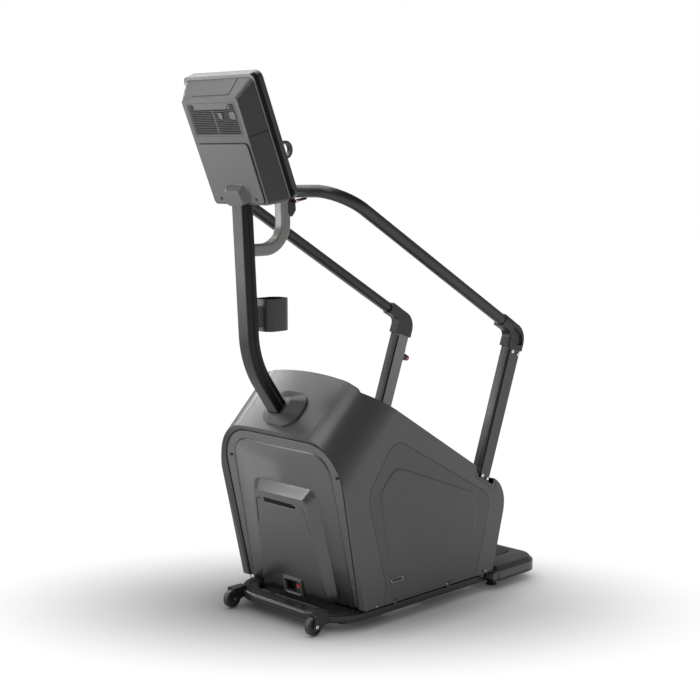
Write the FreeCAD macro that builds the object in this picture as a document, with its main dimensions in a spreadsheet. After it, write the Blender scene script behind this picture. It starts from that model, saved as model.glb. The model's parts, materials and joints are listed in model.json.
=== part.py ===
import FreeCAD, Part
import math
import os
import Sketcher

# Revolving-stair climber.  Frame: +Z up, +X across the machine, +Y towards the rear, where the user
# steps on.  The origin is on the floor under the middle of the overall box.  Millimetres.
# Side outlines are (d, z) pairs, where d is the distance behind the transport-wheel axle.

V = FreeCAD.Vector
doc = FreeCAD.newDocument("stair_climber")
sheet = doc.addObject("Spreadsheet::Sheet", "sizes")

SIZES = {
    "axle_to_centre": 469.855,
    "stair_rise": 200,
    "stair_run": 225,
    "nose_above_chain": 80,
    "step_half_width": 230,
    "step_gap": 7,
    "step_plate": 6,
    "step_pin_radius": 8,
    "step_pin_end": 256,
    "lower_shaft_back": 755,
    "lower_shaft_up": 210,
    "shaft_radius": 16,
    "running_gap": 0.06,
    "idler_shaft_half": 290,
    "pulley_face": 292,
    "pulley_width": 16,
    "pulley_radius": 105,
    "motor_pulley_radius": 21,
    "belt_thick": 4,
    "belt_gap": 0.4,
    "chain_face": 256.5,
    "chain_width": 4,
    "chain_half_depth": 7,
    "sprocket_face": 243,
    "sprocket_width": 8,
    "sprocket_gap": 2,
    "shaft_hole": 22,
    "motor_hole": 12,
    "bearing_radius": 42,
    "bearing_width": 16,
    "frame_face": 262,
    "frame_plate": 8,
    "skirt_face": 233,
    "skirt_plate": 3,
    "housing_half": 354,
    "skin": 4,
    "cover_half": 200,
    "seam_gap": 1,
    "base_tube_width": 74,
    "base_tube_height": 36,
    "base_tube_centre": 290,
    "base_tube_low": 36,
    "base_corner_radius": 150,
    "tube_wall": 3,
    "cross_tube_side": 36,
    "wheel_radius": 36.5,
    "wheel_width": 26,
    "wheel_across": 238,
    "axle_up": 39.5,
    "bolt_radius": 5,
    "bolt_head_radius": 8,
    "foot_radius": 22,
    "mast_half_width": 30,
    "mast_half_depth": 31,
    "mast_bend": 360,
    "rail_radius": 23.5,
    "rail_bore": 20.5,
    "rail_across": 322.4,
    "upright_face": 296.3,
    "upright_width": 40.6,
    "elbow_face": 293.5,
    "elbow_width": 47.5,
    "console_tilt": 22,
    "bezel_half": 200,
    "bezel_tall": 482,
    "bezel_thick": 42,
    "shell_back_half": 150,
    "shell_front_half": 190,
    "shell_deep": 66,
    "shell_wall": 3,
    "cup_wall": 4,
    "platform_half": 372,
    "platform_top": 98,
    "panel_lean": 0.21,
    "button_radius": 13,
}
for row, (alias, value) in enumerate(SIZES.items(), start=1):
    sheet.set(f"A{row}", alias)
    sheet.set(f"B{row}", str(value))
    sheet.setAlias(f"B{row}", alias)
doc.recompute()


def size(alias):
    return float(sheet.get(alias))


def back(d):
    """Frame Y of a point d millimetres behind the wheel axle."""
    return d - size("axle_to_centre")


nodes = {}


def keep(label, thing):
    """Name a finished sub-part; its label is its file name."""
    thing.Label = label
    nodes[label] = thing
    return thing


def feature(label, shape, place=None):
    """A sub-part whose shape comes from Part's own functions."""
    thing = doc.addObject("Part::Feature", label)
    thing.Shape = shape
    thing.Placement = place or FreeCAD.Placement()
    return keep(label, thing)


# ---------------------------------------------------------------- outlines
def segments(points, closed=True):
    """Lines and tangent arcs through points of (vector, corner radius)."""
    count = len(points)
    starts, ends, arcs = [], [], []
    for i, (point, radius) in enumerate(points):
        inner = closed or 0 < i < count - 1
        if radius <= 0 or not inner:
            starts.append(point)
            ends.append(point)
            arcs.append(None)
            continue
        before = (points[i - 1][0] - point).normalize()
        after = (points[(i + 1) % count][0] - point).normalize()
        half = before.getAngle(after) / 2
        reach = radius / math.tan(half)
        middle = (before + after).normalize()
        crown = point + middle * (radius / math.sin(half) - radius)
        starts.append(point + before * reach)
        ends.append(point + after * reach)
        arcs.append(crown)
    curves = []
    for i in range(count):
        if arcs[i] is not None:
            curves.append(Part.Arc(starts[i], arcs[i], ends[i]))
        if i == count - 1 and not closed:
            break
        follower = starts[(i + 1) % count]
        if (follower - ends[i]).Length > 1e-6:
            curves.append(Part.LineSegment(ends[i], follower))
    return curves


def wire(points, closed=True):
    return Part.Wire([curve.toShape() for curve in segments(points, closed)])


def side_points(outline, across=0.0):
    """(d, z, radius) triples as points of the plane x = across."""
    return [(V(across, back(p[0]), p[1]), p[2] if len(p) > 2 else 0) for p in outline]


def side_prism(outline, low, high):
    """A (d, z) outline filled between x = low and x = high."""
    face = Part.Face(wire(side_points(outline, low)))
    return face.extrude(V(high - low, 0, 0))


def loft(*rings):
    """A solid through closed outlines, straight from one to the next."""
    return Part.makeLoft(list(rings), True, True)


def box(low, high):
    """An upright box between two (x, d, z) corners."""
    spans = [high[i] - low[i] for i in range(3)]
    return Part.makeBox(*spans, V(low[0], back(low[1]), low[2]))


def rod(radius, low, high, d, z):
    """A cylinder along X."""
    return Part.makeCylinder(radius, high - low, V(low, back(d), z), V(1, 0, 0))


def loop(c1, r1, c2, r2, low, high):
    """The filled outline of a belt or chain round two (d, z) centres, along X."""
    a = V(low, back(c1[0]), c1[1])
    b = V(low, back(c2[0]), c2[1])
    along = (b - a).normalize()
    side = V(1, 0, 0).cross(along)
    lean = (r1 - r2) / (b - a).Length
    flat = math.sqrt(1 - lean * lean)
    up = along * lean + side * flat
    down = along * lean - side * flat
    edges = [
        Part.LineSegment(a + up * r1, b + up * r2),
        Part.Arc(b + up * r2, b + along * r2, b + down * r2),
        Part.LineSegment(b + down * r2, a + down * r1),
        Part.Arc(a + down * r1, a - along * r1, a + up * r1),
    ]
    face = Part.Face(Part.Wire([edge.toShape() for edge in edges]))
    return face.extrude(V(high - low, 0, 0))


def sweep(section, path):
    """A solid made by carrying a closed section along a path."""
    return path.makePipeShell([section], True, False)


# ---------------------------------------------------------------- parametric bodies
PLANES = {"XY": "XY_Plane", "YZ": "YZ_Plane"}


def origin_plane(body, plane):
    for item in body.Origin.OriginFeatures:
        if item.Role == PLANES[plane]:
            return item
    raise ValueError(plane)


def sketch_on(body, plane, name, outlines, circles=()):
    """A sketch of closed outlines of (u, v, radius) and circles of (u, v, cell)."""
    sketch = body.newObject("Sketcher::SketchObject", name)
    sketch.AttachmentSupport = [(origin_plane(body, plane), "")]
    sketch.MapMode = "FlatFace"
    for outline in outlines:
        points = [(V(p[0], p[1], 0), p[2] if len(p) > 2 else 0) for p in outline]
        sketch.addGeometry(segments(points), False)
    for u, v, cell in circles:
        ring = sketch.addGeometry(Part.Circle(V(u, v, 0), V(0, 0, 1), size(cell)), False)
        number = sketch.addConstraint(Sketcher.Constraint("Radius", ring, size(cell)))
        sketch.setExpression(f"Constraints[{number}]", f"sizes.{cell}")
    return sketch


def padded(label, plane, outlines, length, circles=(), place=None):
    """A body padded from one sketch; length is an expression on the sheet."""
    body = doc.addObject("PartDesign::Body", label)
    sketch = sketch_on(body, plane, label + "_sketch", outlines, circles)
    pad = body.newObject("PartDesign::Pad", label + "_pad")
    pad.Profile = sketch
    pad.setExpression("Length", length)
    sketch.Visibility = False
    for axis, formula in (place or {}).items():
        body.setExpression(f".Placement.Base.{axis}", formula)
    return keep(label, body)


def side_plate(label, side, outline, face, thick, circles=()):
    """A plate parallel to the sides, from |x| = face outwards."""
    shifted = [(back(p[0]), p[1], p[2] if len(p) > 2 else 0) for p in outline]
    rings = [(back(d), z, cell) for d, z, cell in circles]
    start = f"sizes.{face}" if side > 0 else f"-(sizes.{face} + sizes.{thick})"
    return padded(label, "YZ", [shifted], f"sizes.{thick}", rings, {"x": start})


def turned(label, radius, length, start, d, z):
    """A round bar along X whose radius and length are sheet formulas."""
    bar = doc.addObject("Part::Cylinder", label)
    bar.setExpression("Radius", radius)
    bar.setExpression("Height", length)
    turn = FreeCAD.Rotation(V(0, 1, 0), 90)
    bar.Placement = FreeCAD.Placement(V(0, back(d), z), turn)
    bar.setExpression(".Placement.Base.x", start)
    return bar


SIDES = {"left": -1, "right": 1}

# ---------------------------------------------------------------- stair geometry
rise = size("stair_rise")
run = size("stair_run")
pitch = math.hypot(rise, run)
chain_radius = pitch / math.pi
UP = V(0, -run / pitch, rise / pitch)
OUT = V(0, rise / pitch, run / pitch)
lower = (size("lower_shaft_back"), size("lower_shaft_up"))
upper = (lower[0] - 2 * run, lower[1] + 2 * rise)
motor = (275.0, 225.0)


def stair_point(k, u, v, across=0.0):
    """A point of step k: u along its travel, v outwards from the chain line."""
    over = 1 if k < 3 else -1
    d, z = lower if k < 3 else upper
    shaft = V(across, back(d), z)
    travel = (k % 3) * pitch + u
    return shaft + UP * (over * travel) + OUT * (over * (chain_radius + v))


def step_shape(k):
    """One cast step: tread, riser, two end webs and the pins that join it to the chains."""
    nose = size("nose_above_chain")
    root = nose - run * rise / pitch
    nose_u = -pitch / 2 + rise * rise / pitch
    half = size("step_half_width")
    gap = size("step_gap")
    plate = size("step_plate")
    climb = V(rise / pitch, run / pitch)
    fall = V(run / pitch, -rise / pitch)
    toe = V(-pitch / 2, root) + climb * gap
    tip = V(nose_u, nose)
    heel = V(pitch / 2, root) - fall * gap

    def prism(corners, low, high):
        points = [(stair_point(k, c.x, c.y, low), r) for c, r in corners]
        return Part.Face(wire(points)).extrude(V(high - low, 0, 0))

    inside = tip + (fall - climb) * plate
    skin = [
        (toe, 0),
        (tip, plate),
        (heel, 0),
        (heel - climb * plate, 0),
        (inside, 0),
        (toe + fall * plate, 0),
    ]
    shape = prism(skin, -half, half)
    web = [(toe, 0), (tip, plate), (heel, 0)]
    for low in (-half, half - plate):
        shape = shape.fuse(prism(web, low, low + plate))
    pin_end = size("step_pin_end")
    for low, high in ((-pin_end, plate - half), (half - plate, pin_end)):
        shape = shape.fuse(Part.makeCylinder(size("step_pin_radius"), high - low,
                                             stair_point(k, 0, 0, low), V(1, 0, 0)))
    return shape.removeSplitter()


for k in range(6):
    feature(f"step_{k + 1}", step_shape(k))

# ---------------------------------------------------------------- shafts, chains and drive
keep("upper_shaft", turned("upper_shaft", "sizes.shaft_radius",
                           "sizes.idler_shaft_half + sizes.pulley_face + sizes.pulley_width + 4",
                           "-sizes.idler_shaft_half", *upper))
keep("lower_shaft", turned("lower_shaft", "sizes.shaft_radius", "2 * sizes.idler_shaft_half",
                           "-sizes.idler_shaft_half", *lower))


def sprocket_pair(label, centre):
    """Two identical chain wheels keyed to one shaft."""
    outer = chain_radius - size("chain_half_depth") - size("sprocket_gap")
    low = size("sprocket_face")
    high = low + size("sprocket_width")
    web = rod(outer, low, high, *centre)
    hub = rod(size("shaft_radius") * 1.8, low - 8, high, *centre)
    bore = rod(size("shaft_radius"), low - 20, high + 10, *centre)
    wheel = web.fuse(hub)
    lightening = 6
    for turn in range(lightening):
        angle = 2 * math.pi * turn / lightening
        d = centre[0] + 0.62 * outer * math.cos(angle)
        z = centre[1] + 0.62 * outer * math.sin(angle)
        wheel = wheel.cut(rod(0.19 * outer, low - 20, high + 10, d, z))
    wheel = wheel.cut(bore).removeSplitter()
    twin = wheel.mirror(V(0, 0, 0), V(1, 0, 0))
    return feature(label, Part.makeCompound([wheel, twin]))


sprocket_pair("upper_sprockets", upper)
sprocket_pair("lower_sprockets", lower)

chain_low = size("chain_face")
chain_high = chain_low + size("chain_width")
chain_out = chain_radius + size("chain_half_depth")
chain_in = chain_radius - size("chain_half_depth")
chain = loop(lower, chain_out, upper, chain_out, chain_low, chain_high)
chain = chain.cut(loop(lower, chain_in, upper, chain_in, chain_low - 1, chain_high + 1))
feature("step_chains", Part.makeCompound([chain, chain.mirror(V(0, 0, 0), V(1, 0, 0))]))

bearing_low = size("frame_face") + size("frame_plate")
bearings = []
for d, z in (upper, lower):
    for side in (-1, 1):
        low = bearing_low if side > 0 else -bearing_low - size("bearing_width")
        high = low + size("bearing_width")
        ring = rod(size("bearing_radius"), low, high, d, z)
        bearings.append(ring.cut(rod(size("shaft_radius") + size("running_gap"), low - 1, high + 1, d, z)))
feature("shaft_bearings", Part.makeCompound(bearings))

belt_low = size("pulley_face")
belt_high = belt_low + size("pulley_width")


def pulley(radius, centre):
    """A flanged belt wheel with a turned-down web."""
    wheel = rod(radius, belt_low, belt_high, *centre)
    if radius > 60:
        for low, high in ((belt_low - 1, belt_low + 5), (belt_high - 5, belt_high + 1)):
            dish = rod(radius - 12, low, high, *centre).cut(rod(34, low, high, *centre))
            wheel = wheel.cut(dish)
    return wheel


drive_wheel = pulley(size("pulley_radius"), upper)
feature("drive_pulley", drive_wheel.cut(rod(size("shaft_radius"), belt_low - 2, belt_high + 2, *upper)))
motor_shaft = rod(9, 236, belt_high, *motor)
feature("motor_pulley", pulley(size("motor_pulley_radius"), motor).fuse(motor_shaft))
gap = size("belt_gap")
thick = size("belt_thick")
r_big = size("pulley_radius") + gap
r_small = size("motor_pulley_radius") + gap
belt = loop(motor, r_small + thick, upper, r_big + thick, belt_low + 1, belt_high - 1)
feature("drive_belt", belt.cut(loop(motor, r_small, upper, r_big, belt_low, belt_high)))

motor_body = rod(82, 70, 240, *motor).fuse(rod(60, 240, 255, *motor))
motor_body = motor_body.fuse(box((90, motor[0] - 80, 72), (220, motor[0] + 80, 84)))
motor_body = motor_body.fuse(box((100, motor[0] - 30, 84), (210, motor[0] + 30, 160)))
feature("drive_motor", motor_body.cut(rod(9.06, 230, 300, *motor)).removeSplitter())

# ---------------------------------------------------------------- steel structure
tube_w = size("base_tube_width")
tube_h = size("base_tube_height")
tube_x = size("base_tube_centre")
tube_low = size("base_tube_low")
tube_top = tube_low + tube_h
tube_mid = tube_low + tube_h / 2
front_tube = 62
tube_end = 1120


def flat_oval(width, height, radius, centre, across, upward):
    """A rounded rectangle section about a centre."""
    corners = [(-1, -1), (1, -1), (1, 1), (-1, 1)]
    points = [centre + across * (a * width / 2) + upward * (b * height / 2) for a, b in corners]
    return wire([(p, radius) for p in points])


base_path = wire(
    [
        (V(-tube_x, back(tube_end), tube_mid), 0),
        (V(-tube_x, back(front_tube), tube_mid), size("base_corner_radius")),
        (V(tube_x, back(front_tube), tube_mid), size("base_corner_radius")),
        (V(tube_x, back(tube_end), tube_mid), 0),
    ],
    closed=False,
)
base_start = V(-tube_x, back(tube_end), tube_mid)
wall = size("tube_wall")
loop_tube = sweep(flat_oval(tube_w, tube_h, 11, base_start, V(1, 0, 0), V(0, 0, 1)), base_path)
hollow_section = flat_oval(tube_w - 2 * wall, tube_h - 2 * wall, 8, base_start, V(1, 0, 0), V(0, 0, 1))
hollow = sweep(hollow_section, base_path)
tab_spots = (330, 640, 852)
tab_face = size("housing_half") - size("skin")
base_loop = loop_tube.cut(hollow)
for side in (-1, 1):
    for d in tab_spots:
        ends = sorted((side * 312, side * tab_face))
        base_loop = base_loop.fuse(box((ends[0], d - 11, tube_top - 1), (ends[1], d + 11, tube_top + 3)))
        ends = sorted((side * (tab_face - 3), side * tab_face))
        base_loop = base_loop.fuse(box((ends[0], d - 11, tube_top - 1), (ends[1], d + 11, tube_top + 36)))
feature("base_loop_tube", base_loop.removeSplitter())

def square_tube(low, high):
    """A hollow square tube along X between two corners."""
    inner_low = (low[0] - 1, low[1] + wall, low[2] + wall)
    inner_high = (high[0] + 1, high[1] - wall, high[2] - wall)
    return box(low, high).cut(box(inner_low, inner_high))


inner_half = tube_x - tube_w / 2
cross_members = []
for d in (170, 335, 570, 888):
    tube = square_tube((-inner_half, d, tube_low), (inner_half, d + size("cross_tube_side"), tube_top))
    cross_members.append(tube.cut(loop_tube))
feature("base_cross_tubes", Part.makeCompound(cross_members))

beam = {"d": 62.0, "z": 712.0, "side": 40.0}
frame_outline = [
    (182, tube_top),
    (890, tube_top, 20),
    (905, 250, 40),
    (900, 470, 20),
    (770, 490, 60),
    (360, 700, 60),
    (120, 790, 30),
    (60, 754, 10),
    (58, 706, 20),
]
for name, side in SIDES.items():
    holes = [(*upper, "shaft_hole"), (*lower, "shaft_hole"), (*motor, "motor_hole")]
    side_plate(f"stair_frame_{name}", side, frame_outline, "frame_face", "frame_plate", holes)

mast_end = [(39, 790), (89, 826)]
beam_half = size("frame_face")


cross = square_tube((-beam_half, beam["d"], beam["z"]),
                    (beam_half, beam["d"] + beam["side"], beam["z"] + beam["side"]))
beam_top = beam["z"] + beam["side"]
saddle = [(beam["d"], beam_top - 1), (beam["d"] + beam["side"], beam_top - 1), mast_end[1], mast_end[0]]
cross = cross.fuse(side_prism(saddle, -28, 28))

# Mast: an extrusion with a flat front block, a groove down each side and a rounded rear block.
mast_top = V(0, back(-126.5), 1672)
mast_knee = V(0, back(-92.5), 1030)
mast_foot = V(0, back(64), 808)
mast_path = wire([(mast_top, 0), (mast_knee, size("mast_bend")), (mast_foot, 0)], closed=False)


def mast_section(shrink):
    """The mast's section at its top, drawn inwards by shrink."""
    half = size("mast_half_width") - shrink
    deep = size("mast_half_depth") - shrink
    groove = half - 9
    axis = (mast_knee - mast_top).normalize()
    rear = V(1, 0, 0).cross(axis)
    if rear.y < 0:
        rear = -rear
    corners = [(half, -deep, 5), (half, -8 - shrink, 3), (groove, -5 - shrink, 2), (groove, 5 + shrink, 2),
               (half - 3, 8 + shrink, 3), (half - 5, deep, 14)]
    mirrored = [(-x, y, r) for x, y, r in reversed(corners)]
    return wire([(mast_top + V(x, 0, 0) + rear * y, r) for x, y, r in corners + mirrored])


mast_solid = sweep(mast_section(0), mast_path)
mast_hollow = sweep(mast_section(4), mast_path)
feature("mast", mast_solid.cut(mast_hollow))
feature("mast_crossbeam", cross.cut(mast_solid).removeSplitter())

# Support arm: a hook from the mast up to the sleeve that clamps both handrail ends.
bar = (64.5, 1665.3)
arm_path = wire(
    [
        (V(0, back(-88), 1449), 0),
        (V(0, back(76), 1449), 100),
        (V(0, back(69), 1640), 0),
    ],
    closed=False,
)
arm_section = flat_oval(46, 45, 9, V(0, back(-88), 1449), V(1, 0, 0), V(0, 0, 1))
sleeve_half = 52
sleeve = rod(size("rail_radius") + 7, -sleeve_half, sleeve_half, *bar)
arm = sweep(arm_section, arm_path).fuse(sleeve)
slip = 0.03
arm = arm.cut(rod(size("rail_radius") + slip, -sleeve_half - 1, sleeve_half + 1, *bar))
feature("support_arm", arm.cut(mast_solid).removeSplitter())

# Handrails: round tube from the sleeve, out and back, then down to the rear uprights.
rail_slope = 0.5884
rail_x = size("rail_across")
rail_end_d = 1010
rail_line = (222.0, 1578.7)


def rail_height(d):
    return rail_line[1] - rail_slope * (d - rail_line[0])


def handrail(side):
    points = [
        (V(side * 2, back(bar[0]), bar[1]), 0),
        (V(side * (sleeve_half + 4), back(bar[0]), bar[1]), 150),
        (V(side * rail_x, back(bar[0]), rail_height(bar[0])), 136),
        (V(side * rail_x, back(rail_end_d), rail_height(rail_end_d)), 0),
    ]
    path = wire(points, closed=False)
    start = points[0][0]
    outer = Part.Wire(Part.makeCircle(size("rail_radius"), start, V(side, 0, 0)))
    inner = Part.Wire(Part.makeCircle(size("rail_bore"), start, V(side, 0, 0)))
    return sweep(outer, path).cut(sweep(inner, path))


for name, side in SIDES.items():
    feature(f"handrail_{name}", handrail(side))

# Rear uprights: tapered hollow extrusions, grooved near the front edge of both side faces.
upright_foot_z = 400.0
upright_front = (798.5, 0.36183)
upright_rear = (875.5, 0.36983)
elbow_outline = [
    (1012, 1020.2),
    (1034, 1074, 26),
    (972, 1108),
    (998, 1151.5),
    (1134, 1069.5, 70),
    (1104, 985.95),
]
upright_low = size("upright_face")
upright_high = upright_low + size("upright_width")
elbow_low = size("elbow_face")
elbow_high = elbow_low + size("elbow_width")
upright_wall = 5.0


def upright_edge(edge, z, inwards=0.0):
    """The (d, z) point of an upright's front or rear edge at height z."""
    return (edge[0] + edge[1] * (z - upright_foot_z) + inwards, z)


def upright():
    """The right-hand upright, standing on a block outside the stair frame."""
    outline = [upright_edge(upright_front, upright_foot_z), upright_edge(upright_rear, upright_foot_z),
               upright_edge(upright_rear, 989.8), upright_edge(upright_front, 1016.6)]
    shape = side_prism(outline, upright_low, upright_high)
    long_edges = [e for e in shape.Edges if e.Length > 600 and e.BoundBox.YMin < back(800)]
    shape = shape.makeFillet(4, long_edges)
    inset = upright_wall * 1.066
    void = [upright_edge(upright_front, 390, inset), upright_edge(upright_rear, 390, -inset),
            upright_edge(upright_rear, 1040, -inset), upright_edge(upright_front, 1040, inset)]
    shape = shape.cut(side_prism(void, upright_low + upright_wall, upright_high - upright_wall))
    groove = [upright_edge(upright_front, 390, 5), upright_edge(upright_front, 390, 15),
              upright_edge(upright_front, 1040, 15), upright_edge(upright_front, 1040, 5)]
    for low in (upright_low - 1, upright_high - 3):
        shape = shape.cut(side_prism(groove, low, low + 4))
    block = [(812, 402), (868, 402), (895, 475), (838, 475)]
    frame_side = size("frame_face") + size("frame_plate")
    return shape.fuse(side_prism(block, frame_side, upright_low + 1)).removeSplitter()


def elbow():
    """The cast elbow that plugs the upright and takes the handrail's end."""
    shape = side_prism(elbow_outline, elbow_low, elbow_high)
    outer_edges = [e for e in shape.Edges if e.BoundBox.XMin > elbow_high - 0.1 and e.BoundBox.ZMax > 1021]
    shape = shape.makeFillet(5, outer_edges)
    plug = [(1029.1, 1022), (1013.6, 971.5), (1070.7, 950.3), (1086.2, 1003)]
    shape = shape.fuse(side_prism(plug, upright_low + 5.5, upright_high - 5.5))
    along = V(0, 1, -rail_slope).normalize()
    reach = math.hypot(1, rail_slope)
    socket_d = 985
    mouth_at = V(rail_x, back(socket_d), rail_height(socket_d))
    socket = Part.makeCylinder(size("rail_radius") + 3, 62, mouth_at, along)
    start = V(rail_x, back(900), rail_height(900))
    bore = Part.makeCylinder(size("rail_radius") + slip, (rail_end_d - 900) * reach, start, along)
    scoop = [(1027, 1078, 5), (1059, 1092, 8), (1102, 1056, 10), (1105, 1014, 8), (1074, 1017, 12),
             (1036, 1036, 12)]
    shape = shape.fuse(socket).cut(bore)
    return shape.cut(side_prism(scoop, elbow_high - 9, elbow_high + 8)).removeSplitter()


def pair(stem, shape):
    """A right-hand piece and its mirror image."""
    feature(stem + "_right", shape)
    feature(stem + "_left", shape.mirror(V(0, 0, 0), V(1, 0, 0)))


pair("upright", upright())
pair("rail_elbow", elbow())

# ---------------------------------------------------------------- wheels and feet
wheel_x = size("wheel_across")
wheel_half = size("wheel_width") / 2
axle_z = size("axle_up")


def transport_wheel(side):
    """A tyre-shaped wheel: rounded tread, recessed face and a bored hub."""
    radius = size("wheel_radius")
    low = side * wheel_x - wheel_half
    high = side * wheel_x + wheel_half
    wheel = rod(radius, low, high, 0, axle_z)
    rims = [e for e in wheel.Edges if abs(e.Length - 2 * math.pi * radius) < 1]
    wheel = wheel.makeFillet(4, rims)
    for start in (low - 1, high - 4):
        dish = rod(radius - 9, start, start + 5, 0, axle_z).cut(rod(10, start, start + 5, 0, axle_z))
        wheel = wheel.cut(dish)
    return wheel.cut(rod(size("bolt_radius") + size("running_gap"), low - 1, high + 1, 0, axle_z))


def wheel_bracket(side):
    """A folded bracket: a top plate and two cheeks that carry the axle bolt."""
    cheek = [(-14, axle_z - 4, 6), (2, axle_z - 16, 12), (16, axle_z - 10, 8), (44, tube_low + 3),
             (62, tube_low + 3), (62, tube_top + 11), (-6, tube_top + 11, 4)]
    cheek_low = wheel_half + 2
    plates = []
    for start in (-cheek_low - 4, cheek_low):
        low = side * wheel_x + start
        plates.append(side_prism(cheek, low, low + 4))
    lid_half = cheek_low + 4
    lid = box((side * wheel_x - lid_half, -4, tube_top + 7), (side * wheel_x + lid_half, 62, tube_top + 11))
    lid = lid.fuse(plates[0]).fuse(plates[1])
    lid = lid.cut(loop_tube)
    bore = rod(size("bolt_radius"), side * wheel_x - 40, side * wheel_x + 40, 0, axle_z)
    return max(lid.cut(bore).removeSplitter().Solids, key=lambda solid: solid.Volume)


feature("wheel_brackets", Part.makeCompound([wheel_bracket(-1), wheel_bracket(1)]))
for name, side in SIDES.items():
    feature(f"transport_wheel_{name}", transport_wheel(side))


def cap_bolt(length, head_at, axis):
    """A button-head bolt whose head stands on head_at and whose shank runs back along -axis."""
    head = Part.makeCylinder(size("bolt_head_radius"), 5, head_at, axis)
    rim = [e for e in head.Edges if e.Curve.TypeId == "Part::GeomCircle"]
    far = [e for e in rim if (e.Curve.Center - head_at).Length > 4]
    head = head.makeFillet(2.5, far)
    socket = Part.makeCylinder(2.6, 3, head_at + axis * 2.5, axis)
    shank = Part.makeCylinder(size("bolt_radius"), length, head_at, -axis)
    return head.cut(socket).fuse(shank)


bolts = []
for side in (-1, 1):
    axis = V(side, 0, 0)
    reach = wheel_half + 6
    bolts.append(cap_bolt(2 * reach, V(side * (wheel_x + reach), back(0), axle_z), axis))
    for d, z in ((859, 497.3), (890.6, 478.2), (1043.3, 993.3), (1080.1, 977.9)):
        length = 4.5 if z < 900 else 12
        bolts.append(cap_bolt(length, V(side * upright_high, back(d), z), axis))

foot_spots = [(tube_x, 985), (200, 188)]


def levelling_foot(x, d):
    """A rubber-faced pad under a threaded stem."""
    pad = Part.makeCone(size("foot_radius"), size("foot_radius") - 5, 12, V(x, back(d), 0))
    stem = Part.makeCylinder(6, tube_low - 12, V(x, back(d), 12))
    nut = Part.makeCylinder(11, 8, V(x, back(d), tube_low - 8))
    return pad.fuse(stem).fuse(nut)


feet = [levelling_foot(side * x, d) for x, d in foot_spots for side in (-1, 1)]
feature("levelling_feet", Part.makeCompound(feet))

# ---------------------------------------------------------------- housing
ROOT2 = math.sqrt(2)
slope_top = 751.0
form_foot = 180.7
form_lean = 0.235
panel_foot = 184.0
panel_lean = size("panel_lean")
crest = 210.0
sill = 85.0
rim_z = 1042.2
rim_slope = 0.614
crown = 2000.0
shoulder = 170.0


def rim(d):
    return rim_z - rim_slope * d


def tunnel(inset):
    """The 45-degree roof: a crowned top, big shoulders and flat sides, run along its slope."""
    half = size("housing_half") - inset
    top = slope_top / ROOT2 - inset
    big = crown - inset
    small = shoulder - inset
    x = half - small
    n = top - big + math.sqrt((big - small) ** 2 - x * x)
    angle = math.atan2(n - (top - big), x)
    mid = angle / 2

    def at(across, normal):
        start = -1600
        return V(across, back((start - normal) / ROOT2), (start + normal) / ROOT2)

    def bow(sign, turn):
        return at(sign * (x + small * math.cos(turn)), n + small * math.sin(turn))

    low = -1200
    edges = [
        Part.LineSegment(at(-half, low), at(-half, n)),
        Part.Arc(at(-half, n), bow(-1, mid), bow(-1, angle)),
        Part.Arc(bow(-1, angle), at(0, top), bow(1, angle)),
        Part.Arc(bow(1, angle), bow(1, mid), at(half, n)),
        Part.LineSegment(at(half, n), at(half, low)),
        Part.LineSegment(at(half, low), at(-half, low)),
    ]
    face = Part.Face(Part.Wire([edge.toShape() for edge in edges]))
    return face.extrude(V(0, 1, 1) * (3400 / ROOT2))


lip_z = (slope_top + form_foot) / (1 + form_lean)
form_side = [
    (form_foot - form_lean * sill, sill),
    (form_foot - form_lean * lip_z, lip_z),
    (crest, crest + slope_top),
    (crest, rim(crest)),
    (985, rim(985), 120),
    (983.5, 345, 150),
    (914.5, sill),
]
half = size("housing_half")
form = side_prism(form_side, -half - 5, half + 5).common(tunnel(0))

skin = size("skin")
front_in = skin * math.hypot(1, form_lean)
inner_slope = slope_top - skin * ROOT2
inner_lip = (inner_slope + form_foot + front_in) / (1 + form_lean)
inner_side = [
    (form_foot + front_in, 0),
    (form_foot + front_in - form_lean * inner_lip, inner_lip),
    (500, 500 + inner_slope),
    (1500, 1400),
    (1500, 0),
]
inner = side_prism(inner_side, -half - 5, half + 5).common(tunnel(skin))

panel_up = V(0, -panel_lean, 1).normalize()
panel_out = V(0, -1, -panel_lean).normalize()
panel_origin = V(0, back(panel_foot), 0)


def on_panel(x, z, out=0.0):
    """A point of the front panel's plane at height z, moved out along its normal."""
    return panel_origin + V(x, 0, 0) + panel_up * (z * math.hypot(1, panel_lean)) + panel_out * out


def panel_outline(grow, out, low=40.0, up=None):
    """The front opening's outline, grown outwards and moved along the panel's normal."""
    rise_by = grow if up is None else up
    foot = 313.5 + grow
    head = 336.0 + grow
    top = 729.0 + rise_by
    points = [(-foot, low, 0), (-head, top, 150 + grow), (head, top, 150 + grow), (foot, low, 0)]
    return wire([(on_panel(x, z, out), r) for x, z, r in points])


lip_out = 40.0
lip_spread = 1.46
mouth = loft(panel_outline(0, -4), panel_outline(0, 0), panel_outline(lip_out * lip_spread, lip_out))
mouth = mouth.fuse(Part.Face(panel_outline(-12, -9)).extrude(panel_out * 6))
flange_back = panel_foot + 7.2
slab_high = 1100
slab_side = [(flange_back, 0), (flange_back - panel_lean * slab_high, slab_high), (-200, slab_high),
             (-200, 0)]
slab = side_prism(slab_side, -half - 5, half + 5)
shell = form.cut(inner).fuse(form.common(slab)).cut(mouth)

mast_hole = side_prism([(-13, 818), (69, 760), (132, 850), (50, 905)], -34, 34)
cover_half = size("cover_half")
seam = size("seam_gap") / 2
cover = shell.common(box((-cover_half + seam, -300, 600), (cover_half - seam, 400, 1200)))
cover = cover.cut(mast_hole)
feature("top_cover", max(cover.Solids, key=lambda solid: solid.Volume))

panel_side = [(260, 60), (275, 160, 60), (172, 527, 110), (320, 733, 75), (893, 414, 70), (858, 245, 250),
              (792, 60)]
groove = 1.6


skirt_low = size("skirt_face")
skirt_high = skirt_low + size("skirt_plate")


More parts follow.
